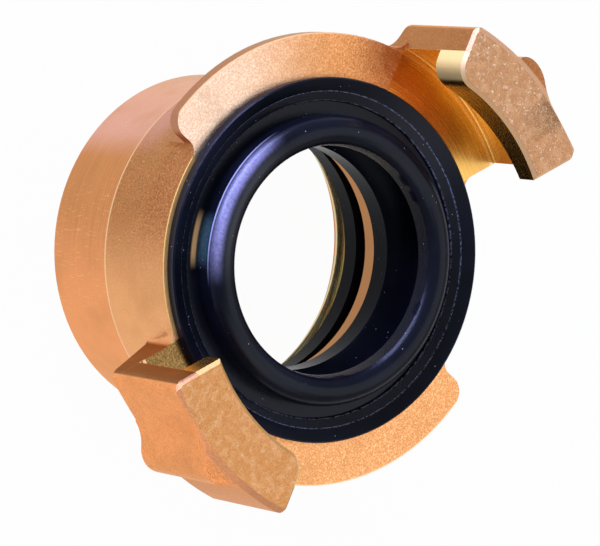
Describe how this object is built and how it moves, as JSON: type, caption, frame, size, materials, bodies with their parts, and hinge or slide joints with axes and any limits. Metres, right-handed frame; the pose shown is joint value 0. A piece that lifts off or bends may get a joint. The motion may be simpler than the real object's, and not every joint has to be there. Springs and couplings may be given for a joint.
{
  "type": "twist-lock coupling",
  "caption": "Turned and forged ring coupling half with hooked claws, crescent flange lobes, a moulded lip seal and a female pipe thread.",
  "frame": {"origin": "centre of the annular rear end face, the threaded end, which the part stands on", "axes": "+Z along the bore axis from the threaded end to the claws; the X axis runs through the middle of both claws"},
  "size_m": [0.0544, 0.0446, 0.0328],
  "materials": {
    "body_brass": "satin",
    "seal_rubber": "satin",
    "gasket_rubber": "matte"
  },
  "bodies": {
    "root": {"coupling_body": "body_brass", "lip_seal": "seal_rubber", "thread_gasket": "gasket_rubber"}
  },
  "joints": []
}
